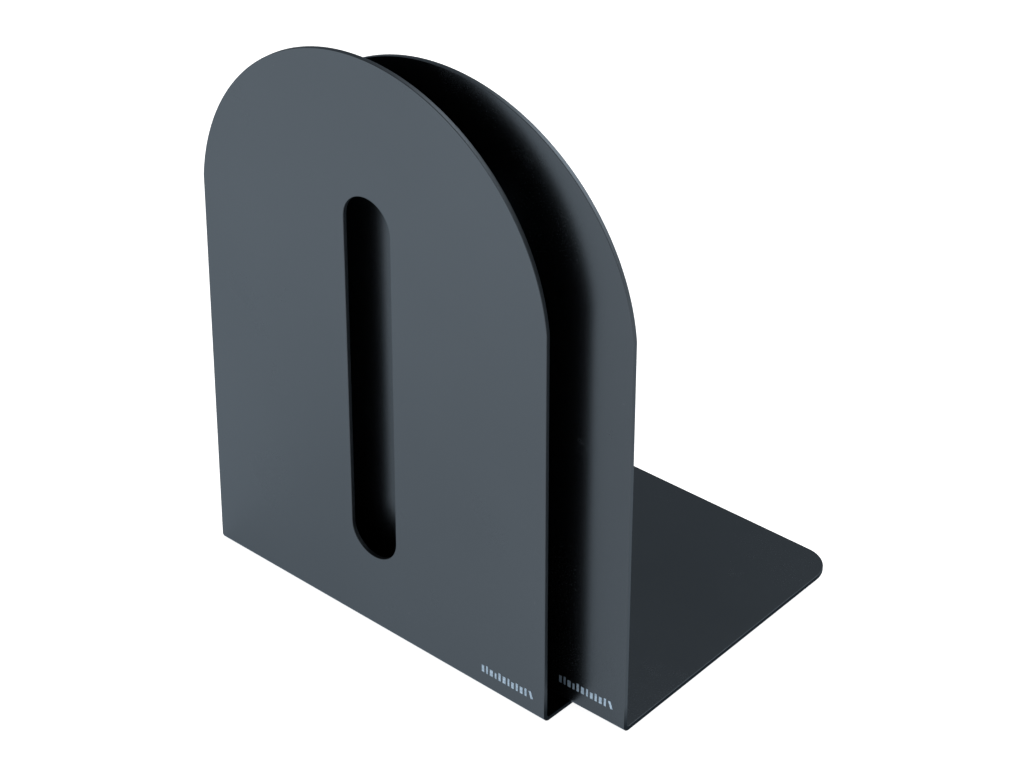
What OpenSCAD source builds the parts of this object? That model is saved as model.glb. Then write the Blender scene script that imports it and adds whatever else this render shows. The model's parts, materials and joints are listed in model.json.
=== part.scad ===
// Nested pair of sheet-steel bookends.
// Each bookend is one sheet, folded once: a flat base and an upright with an arched top and a tall slot.
// Millimetres, +Z up, +Y from an upright towards its base's far edge, +X to the right of someone facing the uprights.
// The origin is the centre of the front bookend's footprint, on the surface that it stands on.

/* [Sheet] */
// Thickness of the coated steel sheet
sheet_t = 1.5; // [1:0.1:2]
// Outside radius of the fold between base and upright
fold_r = 2.5; // [2.2:0.1:5]

/* [Upright] */
// Width of the base, and of the upright at its foot
width = 140; // [120:1:160]
// How much each side of the upright leans in by the time it meets the arch
side_taper = 1.5; // [0:0.1:4]
// Overall height, from the underside to the top of the arch
height = 198; // [190:1:240]
// How far the arch rises above the ends of the straight sides
arch_rise = 61; // [50:1:70]

/* [Slot] */
// Width of the slot, and the diameter of its round ends
slot_w = 18.6; // [10:0.1:30]
// Height of the slot's lowest point
slot_bottom = 27.6; // [15:0.1:60]
// Height of the slot's highest point
slot_top = 154.2; // [120:0.1:170]

/* [Base] */
// Depth of the base, from the upright's front face to its far edge
base_depth = 110.7; // [80:0.1:150]
// Radius of the base's two far corners
base_corner_r = 10.5; // [2:0.5:30]

/* [Nesting] */
// How far the rear bookend stands to the right of the front one
nest_shift = 21.9; // [0:0.1:40]
// From the front face of the front upright to that of the rear one, at its right-hand corner
nest_gap = 11.1; // [9:0.1:40]
// How far the rear bookend is turned anticlockwise, in degrees
nest_turn = 1.35; // [0:0.05:2.5]

/* [Printed mark] */
// Distance from the mark to the upright's right-hand edge
mark_inset = 4.5; // [2:0.5:20]
// Height of the mark's lower edge above the underside
mark_base = 6.7; // [4:0.1:12]
// Space between two of the mark's bars
mark_gap = 0.8; // [0.4:0.1:1.2]
// Thickness of the ink
mark_t = 0.05; // [0.05:0.01:0.1]

/* [Hidden] */
$fn = 128;
spring_x = width / 2 - side_taper;
spring_z = height - arch_rise;
// Radius of the arc through the ends of the two straight sides and the top
arch_r = (spring_x * spring_x + arch_rise * arch_rise) / (2 * arch_rise);
slot_r = slot_w / 2;
// Width and height of each upright bar of the mark, from left to right
mark_bars = [
    [1, 2.6], [0.7, 2.9], [1.2, 2.4], [0.7, 2.2], [0.9, 2.9], [1.2, 2.6],
    [0.7, 2.8], [1, 2.3], [0.8, 2.8], [1.1, 2.5], [0.8, 2.9]
];
// The last bar leans on the others: its width, height and lean in degrees
lean_bar = [0.9, 2.8];
lean_angle = 20;
mark_w = bar_x(len(mark_bars)) + lean_bar[1] * sin(lean_angle) + lean_bar[0] * cos(lean_angle);
coat_colour = [0.31, 0.33, 0.36];
rear_coat_colour = [0.26, 0.28, 0.31];
ink_colour = [0.67, 0.76, 0.84];

// Left edge of bar n, measured from the mark's left edge
function bar_x(n) = n == 0 ? 0 : bar_x(n - 1) + mark_bars[n - 1][0] + mark_gap;

// Part of a circle above the ends of the upright's straight sides
module arch_outline() {
    intersection() {
        translate([0, height - arch_r]) circle(r = arch_r);
        translate([-width, spring_z]) square([2 * width, height]);
    }
}

// Arched face of the upright, with its slot, drawn as X and height
module upright_outline() {
    difference() {
        union() {
            polygon([[-width / 2, fold_r], [width / 2, fold_r], [spring_x, spring_z], [-spring_x, spring_z]]);
            arch_outline();
        }
        translate([-slot_r, slot_bottom + slot_r]) square([slot_w, slot_top - slot_bottom - slot_w]);
        translate([0, slot_bottom + slot_r]) circle(r = slot_r);
        translate([0, slot_top - slot_r]) circle(r = slot_r);
    }
}

// Flat part of the base, drawn as X and Y, with its two far corners rounded
module base_outline() {
    corner_x = width / 2 - base_corner_r;
    corner_y = base_depth - base_corner_r;
    translate([-width / 2, fold_r]) square([width, corner_y - fold_r]);
    translate([-corner_x, corner_y]) square([2 * corner_x, base_corner_r]);
    translate([-corner_x, corner_y]) circle(r = base_corner_r);
    translate([corner_x, corner_y]) circle(r = base_corner_r);
}

// Cross-section of the fold: a quarter of a ring
module fold_outline() {
    intersection() {
        difference() {
            circle(r = fold_r);
            circle(r = fold_r - sheet_t);
        }
        translate([-fold_r, -fold_r]) square(fold_r);
    }
}

// One sheet, folded: the upright's front face lies in Y = 0 and the underside in Z = 0
module folded_sheet() {
    translate([0, sheet_t, 0]) rotate([90, 0, 0]) linear_extrude(sheet_t) upright_outline();
    linear_extrude(sheet_t) base_outline();
    translate([-width / 2, fold_r, fold_r]) rotate([90, 0, 90]) linear_extrude(width) fold_outline();
}

// Row of bars like books on a shelf, the last one leaning, drawn as X and height
module mark_outline() {
    for (n = [0 : len(mark_bars) - 1]) translate([bar_x(n), 0]) square(mark_bars[n]);
    lean_x = bar_x(len(mark_bars)) + lean_bar[1] * sin(lean_angle);
    translate([lean_x, 0]) rotate(lean_angle) square(lean_bar);
}

// Ink on the upright's front face, near its lower right-hand corner
module ink_mark() {
    mark_x = width / 2 - mark_inset - mark_w;
    translate([mark_x, 0, mark_base]) rotate([90, 0, 0]) linear_extrude(mark_t) mark_outline();
}

// Puts a bookend drawn at Y = 0 over the origin
module front_place() {
    translate([0, -base_depth / 2, 0]) children();
}

// Puts a bookend drawn at Y = 0 on the front one's base, shifted and turned about its right-hand corner
module rear_place() {
    corner = [width / 2 + nest_shift, nest_gap - base_depth / 2, sheet_t];
    translate(corner) rotate([0, 0, nest_turn]) translate([-width / 2, 0, 0]) children();
}

module front_bookend() {
    color(coat_colour) front_place() folded_sheet();
}

module front_printed_mark() {
    color(ink_colour) front_place() ink_mark();
}

module rear_bookend() {
    color(rear_coat_colour) rear_place() folded_sheet();
}

module rear_printed_mark() {
    color(ink_colour) rear_place() ink_mark();
}

front_bookend();
front_printed_mark();
rear_bookend();
rear_printed_mark();
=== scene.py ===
import json
import math

import bpy
from mathutils import Matrix, Vector


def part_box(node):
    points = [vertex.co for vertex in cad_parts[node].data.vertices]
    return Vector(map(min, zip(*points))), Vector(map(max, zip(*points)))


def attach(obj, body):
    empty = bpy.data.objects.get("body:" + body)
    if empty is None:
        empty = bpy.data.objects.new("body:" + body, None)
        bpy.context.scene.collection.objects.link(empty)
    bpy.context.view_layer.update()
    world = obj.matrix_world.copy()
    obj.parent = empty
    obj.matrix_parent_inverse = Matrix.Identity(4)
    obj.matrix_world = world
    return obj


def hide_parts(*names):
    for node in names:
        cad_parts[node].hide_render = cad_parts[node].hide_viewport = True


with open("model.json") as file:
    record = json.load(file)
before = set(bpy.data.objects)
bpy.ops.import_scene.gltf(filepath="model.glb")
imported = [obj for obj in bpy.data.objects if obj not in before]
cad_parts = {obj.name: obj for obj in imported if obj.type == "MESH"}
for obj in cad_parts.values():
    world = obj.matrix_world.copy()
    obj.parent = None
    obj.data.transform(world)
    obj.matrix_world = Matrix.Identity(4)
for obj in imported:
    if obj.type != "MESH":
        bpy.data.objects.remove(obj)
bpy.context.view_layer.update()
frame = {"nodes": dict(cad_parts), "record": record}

# ---------------------------------------------------------------- sizes, in metres
front_low, front_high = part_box("front_bookend")
rear_low, rear_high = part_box("rear_bookend")
WIDTH = front_high.x - front_low.x
DEPTH = front_high.y - front_low.y
HEIGHT = 0.198
ARCH_RISE = 0.061                         # from the ends of the straight sides to the top
SIDE_TAPER = 0.0015                       # how much each side leans in on its way to the arch
SHEET = rear_low.z - front_low.z          # the rear base lies on the front one, one sheet higher
FOLD_R = 0.0025                           # outside radius of the fold
CORNER_R = 0.0105                         # far corners of the base
SLOT_WIDTH = 0.0186
SLOT_BOTTOM = 0.0276
SLOT_TOP = 0.1542
EDGE_R = 0.00022                          # the coat rounds every cut edge

ARCH_STEPS = 120                          # segments of the arch
CORNER_STEPS = 20
FOLD_STEPS = 14
SLOT_STEPS = 40                           # segments of each round slot end
EDGE_STEPS = 4                            # segments of each rounded edge
BACK_SHIFT = 1                            # moves the back's part of the blank map, so its specks differ

HALF = WIDTH / 2
SPRING_X = HALF - SIDE_TAPER
SPRING = HEIGHT - ARCH_RISE - FOLD_R      # along the sheet, from the fold to where the arch starts
ARCH_R = (SPRING_X ** 2 + ARCH_RISE ** 2) / (2 * ARCH_RISE)
ARCH_Y = HEIGHT - FOLD_R - ARCH_R         # the arch's centre, a little below where the arch starts
FOLD_LENGTH = (FOLD_R - SHEET / 2) * math.pi / 2
BASE_END = -FOLD_LENGTH - (DEPTH - FOLD_R)

# ---------------------------------------------------------------- camera, as in the photograph
CAMERA_AZIMUTH = math.radians(41.347)
CAMERA_ELEVATION = math.radians(33.118)
CAMERA_ROLL = math.radians(0.461)
CAMERA_DISTANCE = 0.7723
CAMERA_LENS = 96.81                       # millimetres, on the sensor below
CAMERA_SENSOR = 36
AIM = Vector((0.05607, front_low.y, 0.11588))


def towards(azimuth, elevation):
    """Unit vector from the object towards an azimuth and elevation, in radians. Azimuth 0 is in front."""
    return Vector((
        math.sin(azimuth) * math.cos(elevation),
        -math.cos(azimuth) * math.cos(elevation),
        math.sin(elevation),
    ))


def make_camera():
    back = towards(CAMERA_AZIMUTH, CAMERA_ELEVATION)
    right = (-back).cross(Vector((0, 0, 1))).normalized()
    up = right.cross(-back)
    turned_right = math.cos(CAMERA_ROLL) * right + math.sin(CAMERA_ROLL) * up
    turned_up = -math.sin(CAMERA_ROLL) * right + math.cos(CAMERA_ROLL) * up
    data = bpy.data.cameras.new("camera")
    data.lens = CAMERA_LENS
    data.sensor_width = CAMERA_SENSOR
    data.clip_start, data.clip_end = 0.01, 50
    camera = bpy.data.objects.new("camera", data)
    bpy.context.scene.collection.objects.link(camera)
    turn = Matrix((turned_right, turned_up, back)).transposed().to_4x4()
    camera.matrix_world = Matrix.Translation(AIM + CAMERA_DISTANCE * back) @ turn
    bpy.context.scene.camera = camera


# ---------------------------------------------------------------- the folded sheet
def arc(cx, cy, radius, start, end, steps):
    """Points of an arc, both ends included, angles in degrees."""
    points = []
    for i in range(steps + 1):
        a = math.radians(start + (end - start) * i / steps)
        points.append((cx + radius * math.cos(a), cy + radius * math.sin(a)))
    return points


def outer_ring(inset):
    """The flat blank's outline, moved in by inset, from the arch's right end on round.
    x is across the sheet, and y along it: 0 where the fold starts, positive up the upright, and negative
    through the fold and along the base."""
    side = HALF - inset
    corner_x = HALF - CORNER_R
    corner_y = BASE_END + CORNER_R
    folds = [-FOLD_LENGTH * i / FOLD_STEPS for i in range(FOLD_STEPS + 1)]
    lean = math.atan2(SIDE_TAPER, SPRING)
    reach = HALF * math.cos(lean) - ARCH_Y * math.sin(lean) - inset      # from the arch's centre to the side
    start = math.degrees(lean + math.acos(reach / (ARCH_R - inset)))
    ring = arc(0, ARCH_Y, ARCH_R - inset, start, 180 - start, ARCH_STEPS)
    ring += [(-side, y) for y in folds]
    ring += arc(-corner_x, corner_y, CORNER_R - inset, 180, 270, CORNER_STEPS)
    ring += [(0, BASE_END + inset)]
    ring += arc(corner_x, corner_y, CORNER_R - inset, 270, 360, CORNER_STEPS)
    ring += [(side, y) for y in reversed(folds)]
    return ring


def slot_ring(inset):
    """The slot's outline, moved out into the sheet by inset."""
    radius = SLOT_WIDTH / 2 + inset
    top = SLOT_TOP - SLOT_WIDTH / 2 - FOLD_R
    bottom = SLOT_BOTTOM + SLOT_WIDTH / 2 - FOLD_R
    return arc(0, top, radius, 0, 180, SLOT_STEPS) + arc(0, bottom, radius, 180, 360, SLOT_STEPS)


def fold_point(x, y, deep):
    """Where a point of the blank lies on the folded sheet. deep is its distance from the outer surface."""
    if y >= 0:
        return Vector((x, deep, FOLD_R + y))
    if y > -FOLD_LENGTH:
        a = -y / FOLD_LENGTH * math.pi / 2
        reach = FOLD_R - deep
        return Vector((x, FOLD_R - reach * math.cos(a), FOLD_R - reach * math.sin(a)))
    return Vector((x, FOLD_R - FOLD_LENGTH - y, deep))


def edge_profile():
    """(inset, depth) from the outer surface, round one edge, over the rim and round the other edge."""
    first = []
    for i in range(EDGE_STEPS + 1):
        a = math.pi / 2 * i / EDGE_STEPS
        first.append((EDGE_R * (1 - math.sin(a)), EDGE_R * (1 - math.cos(a))))
    second = [(inset, SHEET - deep) for inset, deep in reversed(first)]
    return first + second


class SheetMesh:
    """Collects the vertices and faces of one folded sheet, with their places on the flat blank."""

    def __init__(self):
        self.points, self.flat, self.rim, self.faces = [], [], [], []

    def add_point(self, x, y, deep, rim):
        self.points.append(fold_point(x, y, deep))
        self.flat.append((x, y + (BACK_SHIFT if deep > SHEET / 2 else 0)))
        self.rim.append(rim)
        return len(self.points) - 1

    def add_face(self, corners, flip):
        self.faces.append(tuple(corners[::-1] if flip else corners))

    def add_edge(self, ring_at, flip):
        """The rounded rim along one outline. Returns its two rings of vertices, outer and inner."""
        rows = []
        for inset, deep in edge_profile():
            rows.append([self.add_point(x, y, deep, 1 - inset / EDGE_R) for x, y in ring_at(inset)])
        for low, high in zip(rows, rows[1:]):
            for i in range(len(low)):
                j = (i + 1) % len(low)
                self.add_face([low[i], high[i], high[j], low[j]], flip)
        return rows[0], rows[-1]

    def add_surface(self, ring, slot, deep, flip):
        """One side of the sheet, in halves that meet on the centre line: fold strips, base and upright."""
        fold_left = ARCH_STEPS + 1
        base_middle = fold_left + FOLD_STEPS + CORNER_STEPS + 2
        left = ring[fold_left : fold_left + FOLD_STEPS + 1]
        right = ring[: -FOLD_STEPS - 2 : -1]
        middle = [self.add_point(0, -FOLD_LENGTH * i / FOLD_STEPS, deep, 0) for i in range(FOLD_STEPS + 1)]
        for i in range(FOLD_STEPS):
            self.add_face([left[i], left[i + 1], middle[i + 1], middle[i]], flip)
            self.add_face([middle[i], middle[i + 1], right[i + 1], right[i]], flip)
        self.add_face(ring[fold_left + FOLD_STEPS : base_middle + 1] + [middle[-1]], flip)
        self.add_face([middle[-1]] + ring[base_middle : len(ring) - FOLD_STEPS], flip)
        top = ARCH_STEPS // 2
        slot_top = SLOT_STEPS // 2
        slot_bottom = SLOT_STEPS + 1 + SLOT_STEPS // 2
        slot_left = slot[slot_top : slot_bottom + 1][::-1]
        slot_right = slot[: slot_top + 1][::-1] + slot[slot_bottom:][::-1]
        self.add_face(ring[top : ARCH_STEPS + 1] + [left[0], middle[0]] + slot_left, flip)
        self.add_face([right[0]] + ring[: top + 1] + slot_right + [middle[0]], flip)


def make_sheet(name, body, node, place):
    """One bookend: a folded sheet with rounded rims, in place of its CAD node."""
    sheet = SheetMesh()
    outer, inner = sheet.add_edge(outer_ring, False)
    slot_outer, slot_inner = sheet.add_edge(slot_ring, True)
    sheet.add_surface(outer, slot_outer, 0, False)
    sheet.add_surface(inner, slot_inner, SHEET, True)
    mesh = bpy.data.meshes.new(name)
    mesh.from_pydata([place @ p for p in sheet.points], [], sheet.faces)
    mesh.validate()
    blank = mesh.uv_layers.new(name="blank")
    for loop in mesh.loops:
        blank.data[loop.index].uv = sheet.flat[loop.vertex_index]
    rim = mesh.attributes.new("rim", "FLOAT", "POINT")
    rim.data.foreach_set("value", sheet.rim)
    mesh.shade_smooth()
    piece = bpy.data.objects.new(name, mesh)
    bpy.context.scene.collection.objects.link(piece)
    normals = piece.modifiers.new("flat faces stay flat", "WEIGHTED_NORMAL")
    normals.weight = 100
    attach(piece, body)
    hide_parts(node)
    return piece


def front_place():
    return Matrix.Translation((0, front_low.y, 0))


def rear_place():
    """The rear bookend turns as its face that books lean on, and its right-hand corner is its box's."""
    mounts = {m["name"]: m for m in frame["record"]["mounts"]}
    axis = mounts["book_side_face"]["axis"]
    turn = math.atan2(-axis[0], axis[1])
    corner = Vector((rear_high.x, rear_low.y + WIDTH * math.sin(turn), rear_low.z))
    corner_to_middle = Matrix.Translation((-HALF, 0, 0))
    return Matrix.Translation(corner) @ Matrix.Rotation(turn, 4, "Z") @ corner_to_middle


# ---------------------------------------------------------------- materials
class Tree:
    """Short ways to add nodes to one material."""

    def __init__(self, name):
        self.material = bpy.data.materials.new(name)
        self.material.use_nodes = True
        self.nodes = self.material.node_tree.nodes
        self.links = self.material.node_tree.links
        self.surface = self.nodes["Principled BSDF"]

    def add(self, kind, **settings):
        node = self.nodes.new(kind)
        for key, value in settings.items():
            setattr(node, key, value)
        return node

    def put(self, socket, value):
        if isinstance(value, bpy.types.NodeSocket):
            self.links.new(value, socket)
        else:
            socket.default_value = value

    def noise(self, place, scale, detail=2.0, roughness=0.5):
        node = self.add("ShaderNodeTexNoise")
        self.put(node.inputs["Vector"], place)
        node.inputs["Scale"].default_value = scale
        node.inputs["Detail"].default_value = detail
        node.inputs["Roughness"].default_value = roughness
        return node.outputs["Fac"]

    def spread(self, value, low, high, to_low, to_high, smooth=False):
        node = self.add("ShaderNodeMapRange")
        if smooth:
            node.interpolation_type = "SMOOTHSTEP"
        for name, number in zip(("From Min", "From Max", "To Min", "To Max"), (low, high, to_low, to_high)):
            node.inputs[name].default_value = number
        self.put(node.inputs["Value"], value)
        return node.outputs["Result"]

    def maths(self, operation, a, b):
        node = self.add("ShaderNodeMath", operation=operation)
        self.put(node.inputs[0], a)
        self.put(node.inputs[1], b)
        return node.outputs[0]

    def mix(self, share, a, b):
        """A mix of two colours. The node keeps its colour sockets at 6 and 7, and their result at 2."""
        node = self.add("ShaderNodeMix", data_type="RGBA")
        self.put(node.inputs["Factor"], share)
        self.put(node.inputs[6], a)
        self.put(node.inputs[7], b)
        return node.outputs[2]

    def bump(self, height, distance, normal=None):
        node = self.add("ShaderNodeBump")
        node.inputs["Distance"].default_value = distance
        node.inputs["Strength"].default_value = 1
        self.put(node.inputs["Height"], height)
        if normal is not None:
            self.put(node.inputs["Normal"], normal)
        return node.outputs["Normal"]


COAT_DARK = (0.0650, 0.0780, 0.0910)
COAT_LIGHT = (0.0680, 0.0815, 0.0950)
COAT_RIM = (0.0540, 0.0640, 0.0740, 1)
COAT_RIM_PAINTED_SHADE = (0.0090, 0.0105, 0.0120, 1)       # painted shade: cut edges just above the desk, dark as if they mirrored its shadow
COAT_GRAZING = (0.52, 0.56, 0.60, 1)             # how much of the usual glare is left at grazing angles
FRONT_PAINTED_LIGHT = 1.06                                # painted light and shade: the same coat, made a little lighter on the front bookend and darker on the rear one
REAR_PAINTED_SHADE = 0.89
DUST = (0.34, 0.37, 0.40, 1)
INK = (0.42, 0.54, 0.66, 1)
INK_THIN = (0.30, 0.40, 0.50, 1)
FLOOR = (0.86, 0.86, 0.86, 1)
PAINTED_SHADE_HEIGHTS = (0.004, 0.012)                       # heights where the painted shade on the cut edges starts and ends its fade
DUST_SHARE = 0.2
PEEL_HEIGHT = 0.0000045
GRAIN_HEIGHT = 0.0000012
INK_HEIGHT = 0.000004


def toned(colour, tone):
    """The colour, lighter or darker by a factor, with its alpha."""
    return tuple(tone * channel for channel in colour) + (1,)


def coat_material(name, tone):
    """Satin charcoal powder coat: faint orange peel, broad unevenness, a few smudges and specks of dust.
    The tone paints light and shade on the same coat: it makes one bookend's coat a little lighter or darker
    than the other's."""
    tree = Tree(name)
    place = tree.add("ShaderNodeTexCoord").outputs["Object"]
    blank = tree.add("ShaderNodeUVMap", uv_map="blank").outputs["UV"]
    rim = tree.add("ShaderNodeAttribute", attribute_name="rim").outputs["Fac"]
    cloud = tree.noise(place, scale=14, detail=3)
    peel = tree.noise(place, scale=700, roughness=0.45)
    grain = tree.noise(place, scale=2600, roughness=0.6)
    colour = tree.mix(tree.spread(cloud, 0.35, 0.65, 0, 1), toned(COAT_DARK, tone), toned(COAT_LIGHT, tone))
    split = tree.add("ShaderNodeSeparateXYZ")
    tree.put(split.inputs["Vector"], place)
    # painted shade: the cut edges darken towards the desk
    out_of_painted_shade = tree.spread(split.outputs["Z"], *PAINTED_SHADE_HEIGHTS, 0, 1)
    rim_colour = tree.mix(out_of_painted_shade, COAT_RIM_PAINTED_SHADE, COAT_RIM)
    colour = tree.mix(tree.spread(rim, 0.1, 0.6, 0, 1), colour, rim_colour)
    specks = tree.add("ShaderNodeTexVoronoi", voronoi_dimensions="2D")
    tree.put(specks.inputs["Vector"], blank)
    specks.inputs["Scale"].default_value = 60
    near = tree.spread(specks.outputs["Distance"], 0.006, 0.014, 1, 0, smooth=True)
    chosen = tree.add("ShaderNodeSeparateColor")
    tree.put(chosen.inputs["Color"], specks.outputs["Color"])
    some = tree.spread(chosen.outputs["Red"], 0.80, 0.84, 0, 1)
    dusty = tree.maths("MULTIPLY", tree.maths("MULTIPLY", near, some), DUST_SHARE)
    colour = tree.mix(dusty, colour, DUST)
    tree.put(tree.surface.inputs["Base Color"], colour)
    smudge = tree.noise(place, scale=34, detail=4, roughness=0.6)
    smudge = tree.spread(smudge, 0.60, 0.72, 0, 0.05, smooth=True)
    rough = tree.maths("ADD", tree.spread(cloud, 0.3, 0.7, 0.235, 0.265), smudge)
    rough = tree.maths("ADD", rough, tree.spread(grain, 0.3, 0.7, -0.02, 0.02))
    rough = tree.maths("ADD", rough, tree.spread(rim, 0.2, 1, 0, 0.2))
    tree.put(tree.surface.inputs["Roughness"], rough)
    tree.surface.inputs["Metallic"].default_value = 1
    tree.surface.inputs["Specular Tint"].default_value = COAT_GRAZING
    relief = tree.bump(peel, PEEL_HEIGHT)
    relief = tree.bump(grain, GRAIN_HEIGHT, relief)
    tree.put(tree.surface.inputs["Normal"], relief)
    return tree.material


def ink_material():
    """Screen-printed ink: a little uneven, and thinner in tiny patches."""
    tree = Tree("pale_printed_ink")
    place = tree.add("ShaderNodeTexCoord").outputs["Object"]
    patches = tree.noise(place, scale=1500, detail=3, roughness=0.6)
    patches = tree.spread(patches, 0.42, 0.62, 0, 1)
    tree.put(tree.surface.inputs["Base Color"], tree.mix(patches, INK_THIN, INK))
    tree.put(tree.surface.inputs["Roughness"], tree.spread(patches, 0, 1, 0.55, 0.45))
    tree.surface.inputs["Metallic"].default_value = 0.9
    tree.put(tree.surface.inputs["Normal"], tree.bump(patches, INK_HEIGHT))
    return tree.material


def floor_material():
    """A white table top that also glows, so that it stays white all round the object."""
    tree = Tree("pale_floor")
    place = tree.add("ShaderNodeTexCoord").outputs["Object"]
    soft = tree.noise(place, scale=3)
    tree.put(tree.surface.inputs["Base Color"], FLOOR)
    tree.put(tree.surface.inputs["Roughness"], tree.spread(soft, 0.3, 0.7, 0.88, 0.94))
    tree.surface.inputs["Specular IOR Level"].default_value = 0.2
    tree.surface.inputs["Emission Color"].default_value = FLOOR
    tree.surface.inputs["Emission Strength"].default_value = FLOOR_GLOW
    return tree.material


# ---------------------------------------------------------------- floor and light
FLOOR_RADIUS = 8.0
FLOOR_SIDES = 96
FLOOR_DROP = 0.00002                      # keeps the floor just clear of the underside
FLOOR_GLOW = 1.04


def make_floor():
    angles = [2 * math.pi * i / FLOOR_SIDES for i in range(FLOOR_SIDES)]
    rim = [(FLOOR_RADIUS * math.cos(a), FLOOR_RADIUS * math.sin(a), 0) for a in angles]
    mesh = bpy.data.meshes.new("floor")
    mesh.from_pydata(rim, [], [tuple(range(FLOOR_SIDES))])
    floor = bpy.data.objects.new("floor", mesh)
    bpy.context.scene.collection.objects.link(floor)
    mesh.materials.append(floor_material())
    floor.location.z = -FLOOR_DROP
    floor.visible_diffuse = False      # the satin coat mirrors the white floor, and is lit by little else


def make_softbox(azimuth, elevation, distance, size, power):
    """A rectangular area light that faces the object. It shows only as a sheen, with no diffuse light."""
    data = bpy.data.lights.new("softbox", "AREA")
    data.shape = "RECTANGLE"
    data.size, data.size_y = size
    data.energy = power
    lamp = bpy.data.objects.new("softbox", data)
    bpy.context.scene.collection.objects.link(lamp)
    away = towards(math.radians(azimuth), math.radians(elevation))
    lamp.location = Vector((0, 0, HEIGHT / 2)) + distance * away
    lamp.rotation_mode = "QUATERNION"
    lamp.rotation_quaternion = away.to_track_quat("Z", "Y")
    lamp.visible_diffuse = False


def make_sun(strength, angle, azimuth, elevation):
    """A broad light from behind, wide enough to give only soft shadows."""
    data = bpy.data.lights.new("back_light", "SUN")
    data.energy = strength
    data.angle = math.radians(angle)
    lamp = bpy.data.objects.new("back_light", data)
    bpy.context.scene.collection.objects.link(lamp)
    away = towards(math.radians(azimuth), math.radians(elevation))
    lamp.rotation_mode = "QUATERNION"
    lamp.rotation_quaternion = away.to_track_quat("Z", "Y")


WORLD_FADE = (0.35, 0.75)                 # up to the first height it is horizon, from the second on overhead


def make_world(horizon, overhead):
    """A studio that is brighter near the horizon than overhead."""
    world = bpy.data.worlds.new("studio")
    world.use_nodes = True
    nodes, links = world.node_tree.nodes, world.node_tree.links
    place = nodes.new("ShaderNodeTexCoord")
    split = nodes.new("ShaderNodeSeparateXYZ")
    fade = nodes.new("ShaderNodeMapRange")
    fade_values = (*WORLD_FADE, horizon, overhead)
    for name, number in zip(("From Min", "From Max", "To Min", "To Max"), fade_values):
        fade.inputs[name].default_value = number
    links.new(place.outputs["Generated"], split.inputs["Vector"])
    links.new(split.outputs["Z"], fade.inputs["Value"])
    links.new(fade.outputs["Result"], nodes["Background"].inputs["Strength"])
    nodes["Background"].inputs["Color"].default_value = (1, 1, 1, 1)
    bpy.context.scene.world = world


# ---------------------------------------------------------------- the scene
make_camera()
# the front coat carries painted light and the rear coat painted shade, through their tones
front = make_sheet("front_sheet", "front_bookend", "front_bookend", front_place())
front.data.materials.append(coat_material("charcoal_powder_coat_front", FRONT_PAINTED_LIGHT))
rear = make_sheet("rear_sheet", "rear_bookend", "rear_bookend", rear_place())
rear.data.materials.append(coat_material("charcoal_powder_coat_rear", REAR_PAINTED_SHADE))
ink = ink_material()
for name in ("front_printed_mark", "rear_printed_mark"):
    mark = frame["nodes"][name]
    mark.data.materials.clear()
    mark.data.materials.append(ink)

make_floor()
make_softbox(azimuth=150, elevation=42, distance=1.5, size=(2.0, 1.5), power=22)
make_sun(strength=0.9, angle=40, azimuth=150, elevation=48)
make_world(horizon=0.60, overhead=0.27)
bpy.context.scene.view_settings.view_transform = "Standard"
